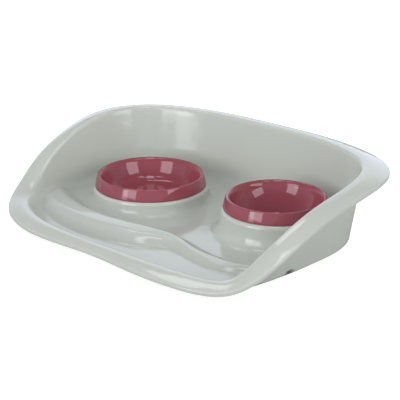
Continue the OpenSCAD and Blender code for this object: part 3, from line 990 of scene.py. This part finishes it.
# %% Ride and replace
for piece, body, node_name, slot_name, finish in (
    (tray, "tray", "tray", "tray_plastic", tray_finish),
    (feet, "tray", "rubber_feet", "foot_rubber", rubber_finish),
    (turned_bowls["water_bowl"], "water_bowl", "water_bowl", "bowl_plastic", bowl_finish),
    (turned_bowls["food_bowl"], "food_bowl", "food_bowl", "bowl_plastic", bowl_finish),
):
    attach(piece, body)
    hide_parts(node_name)
    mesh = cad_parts[node_name].data
    mesh.materials.clear()
    mesh.materials.append(finish)
    print(piece.name, "rides on", body, "and replaces", node_name)

# %% [markdown]
# ## Table and surround
# A white table and a white backdrop, as in a light tent. The table is made bright for the
# camera alone, so that its bounce doesn't lift the underside of the tray, and stays dark under
# the tray, as the notch in the right wall shows. The surround is white for the camera too, but
# dimmer overhead for all other light, and glossy skins see one bright backdrop in it.

# %% White table
TABLE_REACH = 70  # the table is this many times as wide as the tray's foot
GLOW, GLOW_ELSEWHERE = 0.85, 0.15


def table_finish(name, glow_for_camera, glow_elsewhere):
    material, tree, shader = new_material(name)
    shader.inputs["Base Color"].default_value = (0.35, 0.35, 0.35, 1)
    shader.inputs["Roughness"].default_value = 0.8
    shader.inputs["Specular IOR Level"].default_value = 0.2
    shader.inputs["Emission Color"].default_value = (1, 1, 1, 1)
    paths, glow = tree.nodes.new("ShaderNodeLightPath"), tree.nodes.new("ShaderNodeMapRange")
    glow.inputs["To Min"].default_value = glow_elsewhere
    glow.inputs["To Max"].default_value = glow_for_camera
    tree.links.new(paths.outputs["Is Camera Ray"], glow.inputs["Value"])
    tree.links.new(glow.outputs["Result"], shader.inputs["Emission Strength"])
    return material


foot_line = under_ring[-3, :, :2]
n = len(foot_line)
table_points = [(x * out, y * out, 0) for out in (1, TABLE_REACH) for x, y in foot_line]
table_faces = [(i, i + n, j + n, j) for i, j in closed_loop(0, n)] + [tuple(range(n))]
table = new_object("table", table_points, table_faces)
table.data.materials.append(table_finish("table_white", GLOW, GLOW_ELSEWHERE))
table.data.materials.append(table_finish("table_under_the_tray", 0.0, 0.0))
table.data.polygons[n].material_index = 1
print("table faces:", len(table_faces))

# %% Surround
CAMERA_YAW, CAMERA_DOWN = 42.0, 20.0
BACKDROP_TURN = 12  # degrees by which the bright backdrop stands to the camera's right
BACKDROP_EDGE = (0.72, 0.9)
backdrop_yaw = math.radians(CAMERA_YAW - BACKDROP_TURN)
to_backdrop = (-math.sin(backdrop_yaw), math.cos(backdrop_yaw), 0)


def white_surround(diffuse_low, diffuse_high, gloss_low, gloss_high, gloss_back):
    """White for the camera. Other light is dimmer overhead, and gloss sees a bright backdrop."""
    world = bpy.data.worlds.new("white_surround")
    bpy.context.scene.world = world
    world.use_nodes = True
    tree = world.node_tree
    node, link = tree.nodes.new, tree.links.new
    background = tree.nodes["Background"]
    where, paths = node("ShaderNodeTexCoord"), node("ShaderNodeLightPath")
    split, away = node("ShaderNodeSeparateXYZ"), node("ShaderNodeVectorMath")
    away.operation = "DOT_PRODUCT"
    away.inputs[1].default_value = to_backdrop
    link(where.outputs["Generated"], split.inputs[0])
    link(where.outputs["Generated"], away.inputs[0])

    def graded(value, low, high, to_low, to_high):
        n = node("ShaderNodeMapRange")
        n.interpolation_type = "SMOOTHSTEP"
        numbers = {"From Min": low, "From Max": high, "To Min": to_low, "To Max": to_high}
        for name, number in numbers.items():
            n.inputs[name].default_value = number
        link(value, n.inputs["Value"])
        return n.outputs["Result"]

    def chosen(mask, off, on):
        n = node("ShaderNodeMix")
        for k, value in ((0, mask), (2, off), (3, on)):
            feed(tree, n.inputs[k], value)
        return n.outputs[0]

    height = split.outputs["Z"]
    diffuse = graded(height, 0.0, 1.0, diffuse_low, diffuse_high)
    backdrop = graded(away.outputs["Value"], *BACKDROP_EDGE, 0.0, 1.0)
    gloss = chosen(backdrop, graded(height, 0.15, 0.75, gloss_low, gloss_high), gloss_back)
    level = chosen(paths.outputs["Is Glossy Ray"], diffuse, gloss)
    level = chosen(paths.outputs["Is Camera Ray"], level, 1.0)
    link(level, background.inputs["Strength"])
    tint = node("ShaderNodeMix")
    tint.data_type = "RGBA"
    tint.inputs[6].default_value = (1, 1, 1, 1)
    tint.inputs[7].default_value = (0.84, 0.9, 1.05, 1)
    link(paths.outputs["Is Glossy Ray"], tint.inputs[0])
    link(tint.outputs[2], background.inputs["Color"])


white_surround(
    diffuse_low=1.26, diffuse_high=0.33, gloss_low=0.85, gloss_high=0.2, gloss_back=1.62,
)

# %% [markdown]
# ## Soft boxes and camera
# Two low soft boxes stand left and right of the camera, and their windows show in the bowls. A
# narrow one far to the left draws the pale upright strip on the back wall. Three small ones
# hang overhead, for the strokes in the basins, and one more hangs high behind the tray and
# lights the collars and the ridge. The camera looks down through a long lens, which keeps the
# shapes true, as from far away.

# %% Soft boxes
LAMP_AWAY, AIM_Z = 1.6, 0.03


def soft_box(name, azimuth, height_angle, width, height, power):
    """An area light at an angle from the camera's direction, facing the tray's middle."""
    a, e = math.radians(CAMERA_YAW + azimuth), math.radians(height_angle)
    back = Vector((math.sin(a) * math.cos(e), -math.cos(a) * math.cos(e), math.sin(e)))
    data = bpy.data.lights.new(name, "AREA")
    data.shape, data.size, data.size_y, data.energy = "RECTANGLE", width, height, power
    obj = bpy.data.objects.new(name, data)
    bpy.context.scene.collection.objects.link(obj)
    obj.location = Vector((0, 0, AIM_Z)) + back * LAMP_AWAY
    obj.rotation_euler = (-back).to_track_quat("-Z", "Y").to_euler()


# Name, angle to the camera's right, angle over the table, width, height and power.
soft_boxes = (
    ("soft_box_left", -44, 20, 0.8, 0.9, 8.6),
    ("soft_box_right", 52, 20, 0.8, 0.9, 7.5),
    ("soft_box_top", 0, 80, 0.36, 0.7, 3.4),
    ("soft_box_back", -163, 55, 0.5, 0.35, 1.6),
    ("soft_box_top_left", -55, 70, 0.3, 0.3, 1.1),
    ("soft_box_top_right", 55, 70, 0.3, 0.3, 1.1),
    ("strip_left", -54, 5, 0.34, 0.55, 1.5),
)
for lamp in soft_boxes:
    soft_box(*lamp)
print("soft boxes:", len(soft_boxes))

# %% Camera
camera_data = bpy.data.cameras.new("camera")
camera_data.lens, camera_data.sensor_width = 108, 36
camera = bpy.data.objects.new("camera", camera_data)
bpy.context.scene.collection.objects.link(camera)
camera.location = (0.78265, -0.85016, 0.44408)
camera.rotation_euler = (math.radians(90 - CAMERA_DOWN), 0, math.radians(CAMERA_YAW))
bpy.context.scene.camera = camera
bpy.context.scene.view_settings.view_transform = "Standard"
print("camera's distance in m:", round(camera.location.length, 3))
